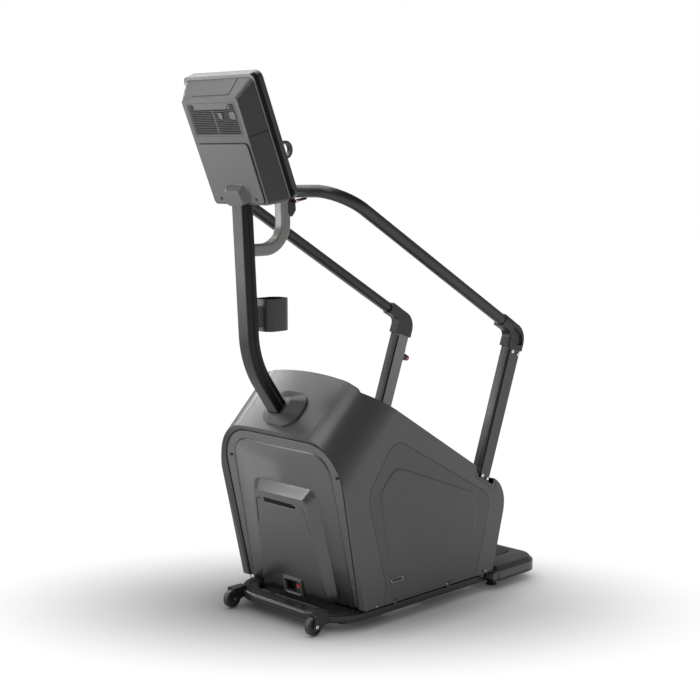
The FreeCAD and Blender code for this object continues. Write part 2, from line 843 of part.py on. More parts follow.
def rear_wall():
    """The housing's rear end between the skirt and the side, behind the upright."""
    low = skirt_high + 0.5
    whole = Part.Face(wire(side_points(form_side, low)))
    band = whole.cut(whole.makeOffset2D(-skin)).extrude(V(half - skin + 0.5 - low, 0, 0))
    return band.common(box((0, 921, sill), (half, 1300, 560)))


def side_shroud():
    """The right-hand housing side with its access opening and the notch round the upright."""
    side_half = box((cover_half + seam, -300, 0), (half + 10, 1300, 1200))
    shape = shell.common(side_half).fuse(rear_wall().common(form))
    shape = shape.cut(side_prism(panel_side, half - skin - 1, half + 1))
    opening = Part.Face(wire(side_points(panel_side, half - skin - 3)))
    ledge_ring = opening.makeOffset2D(8).cut(opening.makeOffset2D(-12)).extrude(V(3, 0, 0))
    shape = shape.fuse(ledge_ring.common(box((0, -300, sill), (half, 1300, 1200))).common(form))
    notch = [(816, 500.5, 6), (803, 541.5), (800, 620), (925, 620), (925, 484), (918.3, 474.6, 4),
             (908.6, 453.8, 6)]
    return shape.cut(side_prism(notch, half - 40, half + 1))


def access_panel():
    """The flush panel that fills the housing side's opening."""
    inside = Part.Face(wire(side_points([(p[0], p[1], p[2] if len(p) > 2 else 0) for p in panel_side], 0)))
    shrunk = inside.makeOffset2D(-groove)
    plate = shrunk.extrude(V(skin, 0, 0))
    plate.translate(V(half - skin, 0, 0))
    return plate.common(box((0, -300, sill), (half + 10, 1300, 1200)))


pair("side_shroud", max(side_shroud().Solids, key=lambda solid: solid.Volume))
pair("side_panel", access_panel())

# Inner skirts: the walls beside the treads, with a sloping ledge out to the housing side.
stadium = loop(lower, chain_radius + 17, upper, chain_radius + 17, 0, half)
skirt_outline = [(203, 742), (203, rim(203) - 4), (982, rim(982) - 4, 115), (981.5, 345, 150), (916, 100),
                 (860, 100)]
ledge = side_prism([(214, rim(214) - 8), (214, rim(214) - 4), (834, rim(834) - 4), (834, rim(834) - 8)],
                   skirt_low, half).common(inner)
skirt = side_prism(skirt_outline, skirt_low, skirt_high).cut(stadium)
skirt = max(skirt.Solids, key=lambda solid: solid.Volume).fuse(ledge)
frame_out = size("frame_face") + size("frame_plate")
skirt = skirt.cut(side_prism(frame_outline, size("frame_face") - 0.5, frame_out + 0.5))
pair("inner_skirt", max(skirt.removeSplitter().Solids, key=lambda solid: solid.Volume))

apron_half = skirt_low - 1
apron = box((-apron_half, 197, 764), (apron_half, 201, 924))
feature("front_apron", apron.common(inner))

kick = [(913.7, 99), (957.7, 262), (953.9, 262), (909.9, 99)]
padded("rear_kick_plate", "YZ", [[(back(p[0]), p[1], p[2] if len(p) > 2 else 0) for p in kick]],
       "2 * sizes.skirt_face", place={"x": "-sizes.skirt_face"})

# Front shroud: the removable front panel with a raised block, a hand slot and the inlet's opening.
inlet = {"z": 126.0, "half": 46.0}
boss_out = 38.0


def trapezoid(foot, head, low, top, radius, out):
    points = [(-foot, low, 0), (-head, top, radius), (head, top, radius), (foot, low, 0)]
    return wire([(on_panel(x, z, out), r) for x, z, r in points])


def panel_block(x_half, low, high, inside, outside):
    """A straight block through the panel between two heights."""
    corners = [(-x_half, low), (x_half, low), (x_half, high), (-x_half, high)]
    face = Part.Face(wire([(on_panel(x, z, inside), 0) for x, z in corners]))
    return face.extrude(panel_out * (outside - inside))


face_back = -4.0
panel = Part.Face(panel_outline(-1.5, face_back, 88)).extrude(panel_out * -face_back)
swell = loft(trapezoid(291, 266, 88, 694, 90, -0.5), trapezoid(289, 264, 88, 692, 88, 2.5))
boss = loft(trapezoid(211, 181, 88, 541, 40, 2), trapezoid(184, 151, 88, 506, 30, boss_out))
boss_in = loft(trapezoid(206, 176, 80, 536, 36, -8), trapezoid(180, 147, 80, 501, 27, boss_out - 3))
front = panel.fuse(swell).fuse(boss).cut(boss_in)
slot_low = 462.0
front = front.cut(panel_block(86, slot_low, slot_low + 10, 20, 60))
front = front.cut(panel_block(inlet["half"], inlet["z"] - 31, inlet["z"] + 31, 20, 60))
feature("front_shroud", max(front.removeSplitter().Solids, key=lambda solid: solid.Volume))

# Power inlet: a bezel round a socket well and a switch well, both sunk behind the block's face.
bezel_out = boss_out + 4
inlet_body = panel_block(inlet["half"] - 0.3, inlet["z"] - 30.7, inlet["z"] + 30.7, 12, boss_out)
inlet_bezel = panel_block(inlet["half"] + 6, inlet["z"] - 36, inlet["z"] + 36, boss_out, bezel_out)
inlet_body = inlet_body.fuse(inlet_bezel)
socket_low, socket_high = -34.0, 6.0
rocker_low, rocker_high = 12.0, 34.0


def panel_pocket(x_low, x_high, low, high, inside, outside, radius=3):
    """A round-cornered block through the panel that isn't centred across it."""
    corners = [(x_low, low), (x_high, low), (x_high, high), (x_low, high)]
    face = Part.Face(wire([(on_panel(x, z, inside), radius) for x, z in corners]))
    return face.extrude(panel_out * (outside - inside))


socket = panel_pocket(socket_low, socket_high, inlet["z"] - 18, inlet["z"] + 18, 18, 60)
prongs = [panel_pocket(x - 2, x + 2, inlet["z"] - 8, inlet["z"] + 8, 18, 34, 0) for x in (-24, -14, -4)]
switch_well = panel_pocket(rocker_low, rocker_high, inlet["z"] - 20, inlet["z"] + 20, 30, 60)
inlet_body = inlet_body.cut(socket).cut(switch_well)
for prong in prongs:
    inlet_body = inlet_body.fuse(prong)
feature("power_inlet", inlet_body.removeSplitter())

rocker_pivot = on_panel((rocker_low + rocker_high) / 2, inlet["z"], 37)
rocker_axis = V(1, 0, 0)
rocker_half = (rocker_high - rocker_low) / 2


def rocker():
    """The rocker: a shallow-vee cap on a round pivot, resting with its lower end pressed."""
    x_low, x_high = rocker_low + 1, rocker_high - 1
    tilt = 6.0
    points = [(-17, -2), (-17, 4), (0, 2), (17, 4), (17, -2), (0, -4)]
    corners = [rocker_pivot + V(x_low, 0, 0) - V(rocker_pivot.x, 0, 0) + panel_up * s + panel_out * n
               for s, n in points]
    cap = Part.Face(wire([(c, 0) for c in corners])).extrude(V(x_high - x_low, 0, 0))
    cap.rotate(rocker_pivot, rocker_axis, -tilt)
    pin = Part.makeCylinder(1.5, rocker_high - rocker_low, rocker_pivot - V(rocker_half, 0, 0), rocker_axis)
    return cap.fuse(pin).removeSplitter()


feature("power_rocker", rocker())

# ---------------------------------------------------------------- mast collar
def on_roof(x, g, h):
    """A point of the roof's plane, g up its slope from the front and h above it."""
    d = (g - h) / ROOT2
    return V(x, back(d), slope_top + (g + h) / ROOT2)


def roof_ring(x_half, g_mid, g_half, radius, h):
    corners = [(-1, -1), (1, -1), (1, 1), (-1, 1)]
    return wire([(on_roof(a * x_half, g_mid + b * g_half, h), radius) for a, b in corners])


mast_clear = sweep(mast_section(-1.5), mast_path)
collar = loft(roof_ring(96, 112, 80, 66, -6), roof_ring(96, 112, 80, 66, 7), roof_ring(46, 96, 47, 30, 40))
collar = collar.cut(form).cut(mast_clear)
collar = collar.cut(loft(roof_ring(80, 112, 66, 56, -10), roof_ring(36, 98, 40, 26, 30)))
for name, side in SIDES.items():
    low, high = (0.4, 200) if side > 0 else (-200, -0.4)
    half_collar = collar.common(box((low, -300, 600), (high, 400, 1200)))
    feature(f"mast_collar_{name}", max(half_collar.Solids, key=lambda solid: solid.Volume))

# ---------------------------------------------------------------- rear platform
plat_half = size("platform_half")
plat_top = size("platform_top")


def plan_ring(x_half, low_d, high_d, radius, z, front_radius=6):
    points = [(-x_half, low_d, front_radius), (x_half, low_d, front_radius), (x_half, high_d, radius),
              (-x_half, high_d, radius)]
    return wire([(V(x, back(d), z), r) for x, d, r in points])


plat_front = 936.0
plat_rear = 1222.0


def platform():
    """The moulded step-on cover over the rear of the base, open underneath."""
    body = loft(plan_ring(plat_half, plat_front, plat_rear, 92, 40),
                plan_ring(plat_half, plat_front, plat_rear, 92, 80),
                plan_ring(plat_half - 16, plat_front + 4, plat_rear - 16, 80, plat_top))
    saddle = [(904, 74), (912, 79), (plat_front + 6, 83), (plat_front + 6, 40), (904, 40)]
    for low in (-plat_half + 4, 262):
        body = body.fuse(side_prism(saddle, low, low + plat_half - 266))
    void = loft(plan_ring(plat_half - 4, plat_front + 4, plat_rear - 4, 88, 30),
                plan_ring(plat_half - 4, plat_front + 4, plat_rear - 4, 88, 78),
                plan_ring(plat_half - 20, plat_front + 8, plat_rear - 20, 76, plat_top - 4))
    body = body.cut(void)
    for side in (-1, 1):
        tunnel_low = side * tube_x - tube_w / 2 - 1
        body = body.cut(box((tunnel_low, 880, 20), (tunnel_low + tube_w + 2, 960, tube_top)))
    recess = box((-250, plat_front + 30, plat_top - 2), (250, plat_rear - 40, plat_top + 1))
    body = body.cut(recess)
    return max(body.removeSplitter().Solids, key=lambda solid: solid.Volume)


feature("rear_platform", platform())
grip_half = 249.0
grip_front = back(plat_front + 31)
grip_rear = back(plat_rear - 41)
grip_plan = [(-grip_half, grip_front, 20), (grip_half, grip_front, 20), (grip_half, grip_rear, 50),
             (-grip_half, grip_rear, 50)]
padded("platform_grip_pad", "XY", [grip_plan], "4", place={"z": "sizes.platform_top - 2"})

# ---------------------------------------------------------------- console
tilt = math.radians(size("console_tilt"))
con_up = V(0, -math.sin(tilt), math.cos(tilt))
con_out = V(0, math.cos(tilt), math.sin(tilt))
con_origin = V(0, back(-72), 1653)


def on_console(x, up, out):
    """A console point: up the display, and out towards the user."""
    return con_origin + V(x, 0, 0) + con_up * up + con_out * out


def console_ring(half_low, half_high, low, high, radius, out):
    points = [(-half_low, low), (half_low, low), (half_high, high), (-half_high, high)]
    return wire([(on_console(x, up, out), radius) for x, up in points])


def console_block(x_low, x_high, low, high, inside, outside):
    corners = [(x_low, low), (x_high, low), (x_high, high), (x_low, high)]
    face = Part.Face(wire([(on_console(x, up, inside), 0) for x, up in corners]))
    return face.extrude(con_out * (outside - inside))


deep = size("shell_deep")
back_half = size("shell_back_half")
front_half = size("shell_front_half")
w = size("shell_wall")
shell_tall = 448.0
shell_low = (-10, -24)
back_top = 398.0
in_half = back_half - w
outer_shell = loft(console_ring(back_half, back_half + 6, shell_low[0], back_top, 14, -deep),
                   console_ring(front_half, front_half, shell_low[1], shell_tall, 22, 3))
inner_shell = loft(console_ring(in_half, in_half + 6, shell_low[0] + w, back_top - w, 11, -deep + w),
                   console_ring(front_half - w, front_half - w, shell_low[1] + w, shell_tall - w, 19, 4))
mast_bay = console_block(-38, 38, -40, 66, -deep - 60, -14)
door_high = 228.0
vent_low, vent_step, vent_count = 262.0, 6.7, 17
vent_outline = [(-128, vent_low), (128, vent_low), (128, 376), (96, 376), (82, 357), (-82, 357), (-96, 376),
                (-128, 376)]
vent_wire = wire([(on_console(x, up, -deep - 5), 4) for x, up in vent_outline])
vents = Part.Face(vent_wire).extrude(con_out * 6.5)
slits = []
for i in range(vent_count):
    low = vent_low + 3 + i * vent_step
    spans = [(-124, -3), (3, 124)]
    if i >= vent_count - 3:
        spans = [(-124, -99), (99, 124)]
    elif i in (9, 10, 11):
        spans = [(-124, -3), (3, 24), (56, 84)]
    for x_low, x_high in spans:
        slits.append(console_block(x_low, x_high, low, low + 3, -deep - 5, -deep + w + 2))
back_shell = outer_shell.cut(inner_shell).cut(mast_bay).cut(vents).cut(Part.makeCompound(slits))
feature("console_back_shell", max(back_shell.removeSplitter().Solids, key=lambda solid: solid.Volume))

door_plate = Part.Face(console_ring(138, 140, -2, door_high, 16, -deep)).extrude(con_out * -5.5)
hood = loft(console_ring(62, 56, -3, 74, 20, -deep - 4), console_ring(48, 42, -3, 54, 18, -deep - 30))
hood_bay = console_block(-36, 36, -10, 50, -deep - 26, -deep + 4)
door = door_plate.fuse(hood).cut(hood_bay)
for side in (-1, 1):
    seat = on_console(side * 98, 14, -deep - 10)
    door = door.cut(Part.makeCylinder(4.5, 7, seat, con_out))
feature("console_door", max(door.removeSplitter().Solids, key=lambda solid: solid.Volume))

bezel_half = size("bezel_half")
bezel_tall = size("bezel_tall")
bezel_thick = size("bezel_thick")
bezel_low = -21.0
bezel_high = bezel_low + bezel_tall
slab_body = loft(console_ring(bezel_half - 4, bezel_half - 4, bezel_low + 4, bezel_high - 4, 24, 3),
                 console_ring(bezel_half, bezel_half, bezel_low, bezel_high, 28, 10),
                 console_ring(bezel_half, bezel_half, bezel_low, bezel_high, 28, bezel_thick))
glass_low = 26.0
glass_high = bezel_high - 16
glass_half = bezel_half - 14
glass_ring = console_ring(glass_half, glass_half, glass_low, glass_high, 14, bezel_thick - 5)
slab_body = slab_body.cut(Part.Face(glass_ring).extrude(con_out * 10))
slab_body = slab_body.fuse(console_block(-150, 150, 30, 400, -1, 4))
slab_body = slab_body.fuse(console_block(-36, 36, 2, 64, -56, 4)).cut(mast_solid)
feature("console_bezel", max(slab_body.removeSplitter().Solids, key=lambda solid: solid.Volume))
glass = Part.Face(console_ring(glass_half - 0.5, glass_half - 0.5, glass_low + 0.5, glass_high - 0.5, 13.5,
                               bezel_thick - 5)).extrude(con_out * 4)
feature("console_display", glass)

# ---------------------------------------------------------------- cup holder, pod, lever and stop button
cup_low, cup_high = 1142.0, 1264.0


def cup():
    """An open-topped cup on a bracket behind the mast."""
    tall = V(0, 0, cup_high - cup_low)
    lip = size("cup_wall")
    outer = Part.Face(plan_ring(48, -42, 76, 44, cup_low, 30)).extrude(tall)
    void = Part.Face(plan_ring(48 - lip, lip - 42, 76 - lip, 44 - lip, cup_low + 5, 30 - lip)).extrude(tall)
    bracket = box((-20, -86, 1160), (20, -41, 1236))
    return outer.fuse(bracket).cut(void).cut(mast_solid)


feature("cup_holder", max(cup().removeSplitter().Solids, key=lambda solid: solid.Volume))

lever_pivot = (100.0, 1628.0)
pod_side = [(80, 1644, 6), (80, 1584, 8), (94, 1564, 8), (116, 1593, 8), (112, 1644, 8)]
pod = side_prism(pod_side, -26, 26).cut(arm).cut(rod(size("rail_radius") + 7, -60, 60, *bar))
pod = pod.cut(rod(4 + size("running_gap"), 11, 27, *lever_pivot))
feature("control_pod", max(pod.Solids, key=lambda solid: solid.Volume))

lever = rod(7, 26.5, 44, *lever_pivot).fuse(rod(4, 12, 27, *lever_pivot))
lever_start = V(36, back(lever_pivot[0]), lever_pivot[1])
lever_way = V(0.45, 0.86, 0.22).normalize()
lever_arm = Part.makeCylinder(5.5, 44, lever_start, lever_way)
lever_arm = lever_arm.fuse(Part.makeSphere(5.5, lever_start + lever_way * 44))
feature("stop_lever", lever.fuse(lever_arm).removeSplitter())

stop_z = 907.0
stop_d = upright_edge(upright_rear, stop_z)[0]
stop_across = -(upright_low + upright_high) / 2


def stop_frame(along, out, side=0.0):
    """A point near the left upright's rear face: along it, out from it and across."""
    axis = V(0, upright_rear[1], 1).normalize()
    outwards = V(0, axis.z, -axis.y)
    return V(stop_across + side, back(stop_d), stop_z) + axis * along + outwards * out


stop_out = stop_frame(0, 1) - stop_frame(0, 0)
stop_corners = [(-17, -23.5), (17, -23.5), (17, 38.5), (-17, 38.5)]
stop_plate = Part.Face(wire([(stop_frame(a, 0, x), 7) for x, a in stop_corners])).extrude(stop_out * 5)
button_radius = size("button_radius")
stop_barrel = Part.makeCylinder(button_radius + 2, 25, stop_frame(0, 4), stop_out)
stop_well = Part.makeCylinder(button_radius + 0.4, 20, stop_frame(0, 14), stop_out)
stem_bore = Part.makeCylinder(6 + size("running_gap"), 14, stop_frame(0, 3), stop_out)
feature("estop_housing", stop_plate.fuse(stop_barrel).cut(stop_well).cut(stem_bore).removeSplitter())
stem = Part.makeCylinder(6, 18, stop_frame(0, 8), stop_out)
cap = Part.makeCylinder(button_radius, 26, stop_frame(0, 22), stop_out)
top_edges = [e for e in cap.Edges if e.Length > 60 and (e.BoundBox.Center - stop_frame(0, 48)).Length < 1]
feature("estop_button", cap.makeFillet(4, top_edges).fuse(stem).removeSplitter())

feature("frame_bolts", Part.makeCompound(bolts))


def panel_screw(at, axis, length=3.5):
    """A small pan-head screw whose head stands on a panel's face."""
    head = Part.makeCylinder(4.5, 2, at, axis)
    shank = Part.makeCylinder(2, length, at, -axis)
    return head.fuse(shank)


screws = []
for side in (-1, 1):
    screws.append(panel_screw(on_panel(side * 304, 609), panel_out))
    for d in tab_spots:
        screws.append(panel_screw(V(side * half, back(d), 96), V(side, 0, 0), 7))
    screws.append(panel_screw(on_console(side * 98, 14, -deep - 5), -con_out))
feature("shroud_screws", Part.makeCompound(screws))

# ---------------------------------------------------------------- checks and output
doc.recompute()
for thing in doc.Objects:
    if "Invalid" in thing.State or "Error" in thing.State:
        raise RuntimeError(f"{thing.Label}: {thing.State}")
for label, thing in nodes.items():
    if thing.Shape.isNull() or not thing.Shape.isValid() or not thing.Shape.Solids:
        raise RuntimeError(f"{label}: bad shape")

os.makedirs("parts", exist_ok=True)
for label, thing in nodes.items():
    thing.Shape.exportStep(f"parts/{label}.step")
overall = FreeCAD.BoundBox()
for thing in nodes.values():
    overall.add(thing.Shape.BoundBox)
print(len(nodes), "sub-parts", overall)
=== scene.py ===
import json
import math

import bmesh
import bpy
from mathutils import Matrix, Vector


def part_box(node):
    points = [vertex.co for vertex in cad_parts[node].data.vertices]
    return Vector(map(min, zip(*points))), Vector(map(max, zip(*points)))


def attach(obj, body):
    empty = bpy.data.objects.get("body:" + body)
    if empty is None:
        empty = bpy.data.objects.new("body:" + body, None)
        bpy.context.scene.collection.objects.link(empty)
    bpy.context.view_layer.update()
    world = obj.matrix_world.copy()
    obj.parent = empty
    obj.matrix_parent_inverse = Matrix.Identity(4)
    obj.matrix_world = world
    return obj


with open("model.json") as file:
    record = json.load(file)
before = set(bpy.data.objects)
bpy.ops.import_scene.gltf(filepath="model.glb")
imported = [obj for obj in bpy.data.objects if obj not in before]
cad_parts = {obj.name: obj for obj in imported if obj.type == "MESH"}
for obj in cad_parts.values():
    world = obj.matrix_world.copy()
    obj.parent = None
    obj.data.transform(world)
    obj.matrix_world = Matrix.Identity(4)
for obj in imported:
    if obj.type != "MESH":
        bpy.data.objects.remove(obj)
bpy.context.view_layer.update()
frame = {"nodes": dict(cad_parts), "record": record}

# Stair climber, seen from its front right corner.  Metres, in the frame of the CAD: +Z up, +X across,
# +Y towards the rear.  The details' own sizes and places are in millimetres: a place on a side is
# (d, z), where d is the distance behind the transport wheels' axle.
nodes = frame["nodes"]
MM = 0.001
ROOT2 = math.sqrt(2)
SIDES = (("left", -1), ("right", 1))


def middle(node):
    low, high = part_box(node)
    return (low + high) / 2


axle = middle("transport_wheel_right")


def at(x, d, z):
    """The frame point at x across, d behind the wheel axle and z up, all in millimetres."""
    return Vector((x * MM, axle.y + d * MM, z * MM))


# ---------------------------------------------------------------- materials
WARMTH = 0.026          # how far every grey leans to red
GRAIN_SCALE = 420.0
GRAIN_DEPTH = 0.00003
RIB_DEPTH = 0.0012
WAVES_PER_METRE = 3.2   # of a wave texture with a scale of 1
FACING = 0.8            # a face looks along X when its normal's X part is larger


def tint(level, warm=0.0):
    """A linear grey, slightly warm when asked."""
    return (level * (1 + warm), level, level * (1 - warm), 1.0)


def scaled(colour, factor):
    return tuple(min(1.0, part * factor) for part in colour[:3]) + (1.0,)


class Shader:
    """A small helper that adds linked nodes to one material."""

    def __init__(self, name):
        self.material = bpy.data.materials.new(name)
        self.material.use_nodes = True
        self.tree = self.material.node_tree
        self.bsdf = self.tree.nodes["Principled BSDF"]
        coords = self.add("ShaderNodeTexCoord")
        self.place = coords.outputs["Object"]

    def add(self, kind, **values):
        node = self.tree.nodes.new(kind)
        for key, value in values.items():
            setattr(node, key, value)
        return node

    def link(self, source, target):
        self.tree.links.new(source, target)

    def put(self, value, target):
        """Links a socket, or sets a plain value."""
        if isinstance(value, bpy.types.NodeSocket):
            self.link(value, target)
        else:
            target.default_value = value

    def noise(self, scale, detail=3.0):
        node = self.add("ShaderNodeTexNoise")
        node.inputs["Scale"].default_value = scale
        node.inputs["Detail"].default_value = detail
        self.link(self.place, node.inputs["Vector"])
        return node.outputs["Fac"]

    def spread(self, value, low, high):
        """Maps a noise value to the range low..high."""
        node = self.add("ShaderNodeMapRange")
        node.inputs["From Min"].default_value = 0.3
        node.inputs["From Max"].default_value = 0.7
        node.inputs["To Min"].default_value = low
        node.inputs["To Max"].default_value = high
        self.link(value, node.inputs["Value"])
        return node.outputs["Result"]

    def blend(self, factor, first, second):
        """Mixes two colours, each linked or plain."""
        node = self.add("ShaderNodeMix", data_type="RGBA")
        self.link(factor, node.inputs[0])
        self.put(first, node.inputs[6])
        self.put(second, node.inputs[7])
        return node.outputs[2]

    def parts(self, vector):
        node = self.add("ShaderNodeSeparateXYZ")
        self.link(vector, node.inputs[0])
        return node.outputs

    def compute(self, operation, first, second=None):
        node = self.add("ShaderNodeMath", operation=operation)
        self.link(first, node.inputs[0])
        if second is not None:
            self.put(second, node.inputs[1])
        return node.outputs[0]

    def bump(self, height, distance, strength, before=None):
        node = self.add("ShaderNodeBump")
        node.inputs["Distance"].default_value = distance
        node.inputs["Strength"].default_value = strength
        self.link(height, node.inputs["Height"])
        if before is not None:
            self.link(before, node.inputs["Normal"])
        return node.outputs["Normal"]


def painted_side_shading(shader, colour, level):
    """Painted light and shade: another grey on the faces that look along X, lighter or darker as the light
    falls on the sides.
    """
    geometry = shader.add("ShaderNodeNewGeometry")
    across = shader.parts(geometry.outputs["True Normal"])["X"]
    mask = shader.compute("GREATER_THAN", shader.compute("ABSOLUTE", across), FACING)
    return shader.blend(mask, colour, tint(level))


def dark_trim_and_painted_shade_below(shader, colour, low, high, level):
    """The colour fades to a dark one between two heights in metres: on the front panel a painted dark
    reflection and shade low down, on the platform a sharp dark trim along its bottom edge.
    """
    fade = shader.add("ShaderNodeMapRange", interpolation_type="SMOOTHSTEP")
    fade.inputs["From Min"].default_value = high
    fade.inputs["From Max"].default_value = low
    shader.link(shader.parts(shader.place)["Z"], fade.inputs["Value"])
    return shader.blend(fade.outputs["Result"], colour, tint(level))


def inside_box(shader, colour, centre, half, other):
    """Another colour inside a box."""
    moved = shader.add("ShaderNodeVectorMath", operation="SUBTRACT")
    moved.inputs[1].default_value = centre
    shader.link(shader.place, moved.inputs[0])
    size = shader.add("ShaderNodeVectorMath", operation="ABSOLUTE")
    shader.link(moved.outputs[0], size.inputs[0])
    parts = shader.parts(size.outputs[0])
    near_x, near_y, near_z = (shader.compute("LESS_THAN", parts[axis], reach)
                              for axis, reach in zip("XYZ", half))
    near_all = shader.compute("MULTIPLY", shader.compute("MULTIPLY", near_x, near_y), near_z)
    return shader.blend(near_all, colour, other)


def finish(name, level, rough, edge=0.0012, grainy=True, metal=0.0, coat=0.0, colour=None, swing=0.04,
           specular=0.5, change=None):
    """A moulded or coated surface: soft colour clouds, fine grain, uneven gloss and eased edges.

    change is a function above and its values; it repaints part of the surface.
    """
    shader = Shader(name)
    base = colour or tint(level, WARMTH)
    paint = shader.blend(shader.noise(9.0), scaled(base, 0.94), scaled(base, 1.06))
    if change:
        repaint, *values = change
        paint = repaint(shader, paint, *values)
    shader.link(paint, shader.bsdf.inputs["Base Color"])
    gloss = shader.spread(shader.noise(7.0), rough - swing, rough + swing)
    shader.link(gloss, shader.bsdf.inputs["Roughness"])
    normal = None
    if edge:
        eased = shader.add("ShaderNodeBevel", samples=4)
        eased.inputs["Radius"].default_value = edge
        normal = eased.outputs["Normal"]
    if grainy:
        normal = shader.bump(shader.noise(GRAIN_SCALE, 2.0), GRAIN_DEPTH, 0.2, normal)
    if normal is not None:
        shader.link(normal, shader.bsdf.inputs["Normal"])
    shader.bsdf.inputs["Metallic"].default_value = metal
    shader.bsdf.inputs["Specular IOR Level"].default_value = specular
    shader.bsdf.inputs["Coat Weight"].default_value = coat
    shader.bsdf.inputs["Coat Roughness"].default_value = 0.12
    return shader.material


def ribbed(name, level, rough, pitch):
    """A surface with ribs along the machine's length, side by side across it."""
    shader = Shader(name)
    base = tint(level, 0.01)
    shader.link(shader.blend(shader.noise(14.0), scaled(base, 0.9), base), shader.bsdf.inputs["Base Color"])
    wave = shader.add("ShaderNodeTexWave", wave_type="BANDS", bands_direction="X")
    wave.inputs["Scale"].default_value = 1 / pitch / WAVES_PER_METRE
    shader.link(shader.place, wave.inputs["Vector"])
    ribs = shader.bump(wave.outputs["Fac"], RIB_DEPTH, 0.8)
    shader.link(shader.bump(shader.noise(900.0), 0.0001, 0.3, ribs), shader.bsdf.inputs["Normal"])
    gloss = shader.spread(shader.noise(20.0), rough - 0.06, rough + 0.06)
    shader.link(gloss, shader.bsdf.inputs["Roughness"])
    return shader.material


RED = (0.62, 0.03, 0.025, 1)
ROCKER_RED = (0.7, 0.03, 0.03, 1)
INLET_DARK = (inside_box, middle("power_inlet"), (0.040, 0.2, 0.026), tint(0.004))
ROCKER_TOP = (inside_box, middle("power_rocker") + Vector((0, 0, 0.003)), (0.007, 0.1, 0.008), ROCKER_RED)

# Each material slot's finish; lengths in metres.
FINISHES = {
    "shroud_plastic": dict(level=0.066, rough=0.34, specular=0.6),
    "panel_plastic": dict(level=0.070, rough=0.40),
    "skirt_plastic": dict(level=0.035, rough=0.5),
    "platform_plastic": dict(level=0.100, rough=0.38, edge=0.004,
                             change=(dark_trim_and_painted_shade_below, 0.0495, 0.0505, 0.006)),
    # Painted shade: the console's sides are a darker grey than its back.
    "console_plastic": dict(level=0.085, rough=0.42, edge=0.003, change=(painted_side_shading, 0.016)),
    "door_plastic": dict(level=0.095, rough=0.38, edge=0.006),
    # Painted light and shade: the bezel is a light grey for its lit top, with darker sides.
    "bezel_plastic": dict(level=0.17, rough=0.36, edge=0.006, change=(painted_side_shading, 0.030)),
    "cup_plastic": dict(level=0.028, rough=0.36),
    "pod_plastic": dict(level=0.022, rough=0.45),
    "lever_plastic": dict(level=0.010, rough=0.4),
    "inlet_plastic": dict(level=0.12, rough=0.2, edge=0.003, change=INLET_DARK),
    "rocker_red": dict(level=0.006, rough=0.3, change=ROCKER_TOP),
    "stop_red": dict(level=0, rough=0.3, colour=RED, coat=0.3),
    # Painted shade: the mast's sides are a darker grey than its front.
    "mast_paint": dict(level=0.028, rough=0.32, specular=0.25, grainy=False, change=(painted_side_shading, 0.004)),
    "rail_paint": dict(level=0.022, rough=0.34, edge=0, grainy=False),
    "upright_paint": dict(level=0.055, rough=0.33),
    "elbow_paint": dict(level=0.018, rough=0.42, edge=0.004),
    "frame_paint": dict(level=0.022, rough=0.26, edge=0, grainy=False),
    "motor_paint": dict(level=0.035, rough=0.45),
    "wheel_rubber": dict(level=0.040, rough=0.5),
    "foot_rubber": dict(level=0.012, rough=0.7),
    "belt_rubber": dict(level=0.015, rough=0.6, edge=0),
    "shaft_steel": dict(level=0.55, rough=0.28, metal=1.0, edge=0.0006),
    "sprocket_steel": dict(level=0.28, rough=0.38, metal=1.0, edge=0.0006),
    "chain_steel": dict(level=0.22, rough=0.42, metal=1.0, edge=0),
    "bearing_iron": dict(level=0.10, rough=0.6, metal=0.6),
    "pulley_aluminium": dict(level=0.6, rough=0.32, metal=1.0, edge=0.0006),
    "bolt_steel": dict(level=0.80, rough=0.22, metal=1.0, edge=0.0005),
    "screw_steel": dict(level=0.012, rough=0.35, edge=0.0005),
    "display_glass": dict(level=0.006, rough=0.06, coat=1.0, edge=0, swing=0.02),
}
RIBBED = {
    "grip_rubber": dict(level=0.06, rough=0.7, pitch=0.008),
    "step_plastic": dict(level=0.04, rough=0.55, pitch=0.012),
}
# Nodes that look unlike the rest of their slot: the material's prefix and its finish.
OWN_FINISHES = {
    # Painted light: the far upright has its own copy of the paint, with much lighter sides where the light
    # falls on them.
    "upright_left": ("far", dict(level=0.055, rough=0.33, change=(painted_side_shading, 0.26))),
    # Painted highlight: the arm's own, much lighter copy of its paint stands in for the highlights on it.
    "support_arm": ("arm", dict(level=0.20, rough=0.28, edge=0, grainy=False)),
    # Painted reflection and shade: the front panel darkens towards its bottom.
    "front_shroud": ("front", dict(level=0.056, rough=0.24, edge=0.007, specular=0.8, coat=0.15,
                                   change=(dark_trim_and_painted_shade_below, 0.06, 0.24, 0.010))),
}
SMOOTH_ANGLE = math.radians(32)


def slot_material(slot):
    if slot in RIBBED:
        return ribbed(slot, **RIBBED[slot])
    return finish(slot, **FINISHES[slot])


def finish_nodes():
    """Gives every CAD node its slot's material and smooth shading between its sharp edges."""
    made = {}
    for row in frame["record"]["subparts"]:
        name, slot = row["node"], row["material_slot"]
        if slot not in made:
            made[slot] = slot_material(slot)
        material = made[slot]
        if name in OWN_FINISHES:
            prefix, values = OWN_FINISHES[name]
            material = finish(f"{prefix}_{slot}", **values)
        thing = nodes[name]
        thing.data.materials.clear()
        thing.data.materials.append(material)
        weld = thing.modifiers.new("weld", "WELD")
        weld.merge_threshold = 1e-5
        split = thing.modifiers.new("split", "EDGE_SPLIT")
        split.split_angle = SMOOTH_ANGLE
        split.use_edge_sharp = False
        for face in thing.data.polygons:
            face.use_smooth = True
    return made


MATERIALS = finish_nodes()
# Black for dark joints, and painted shade in slits, screw holes and the front slot.
BLACK = finish("gap_and_shade_black", 0.003, 0.7, edge=0, specular=0.2)
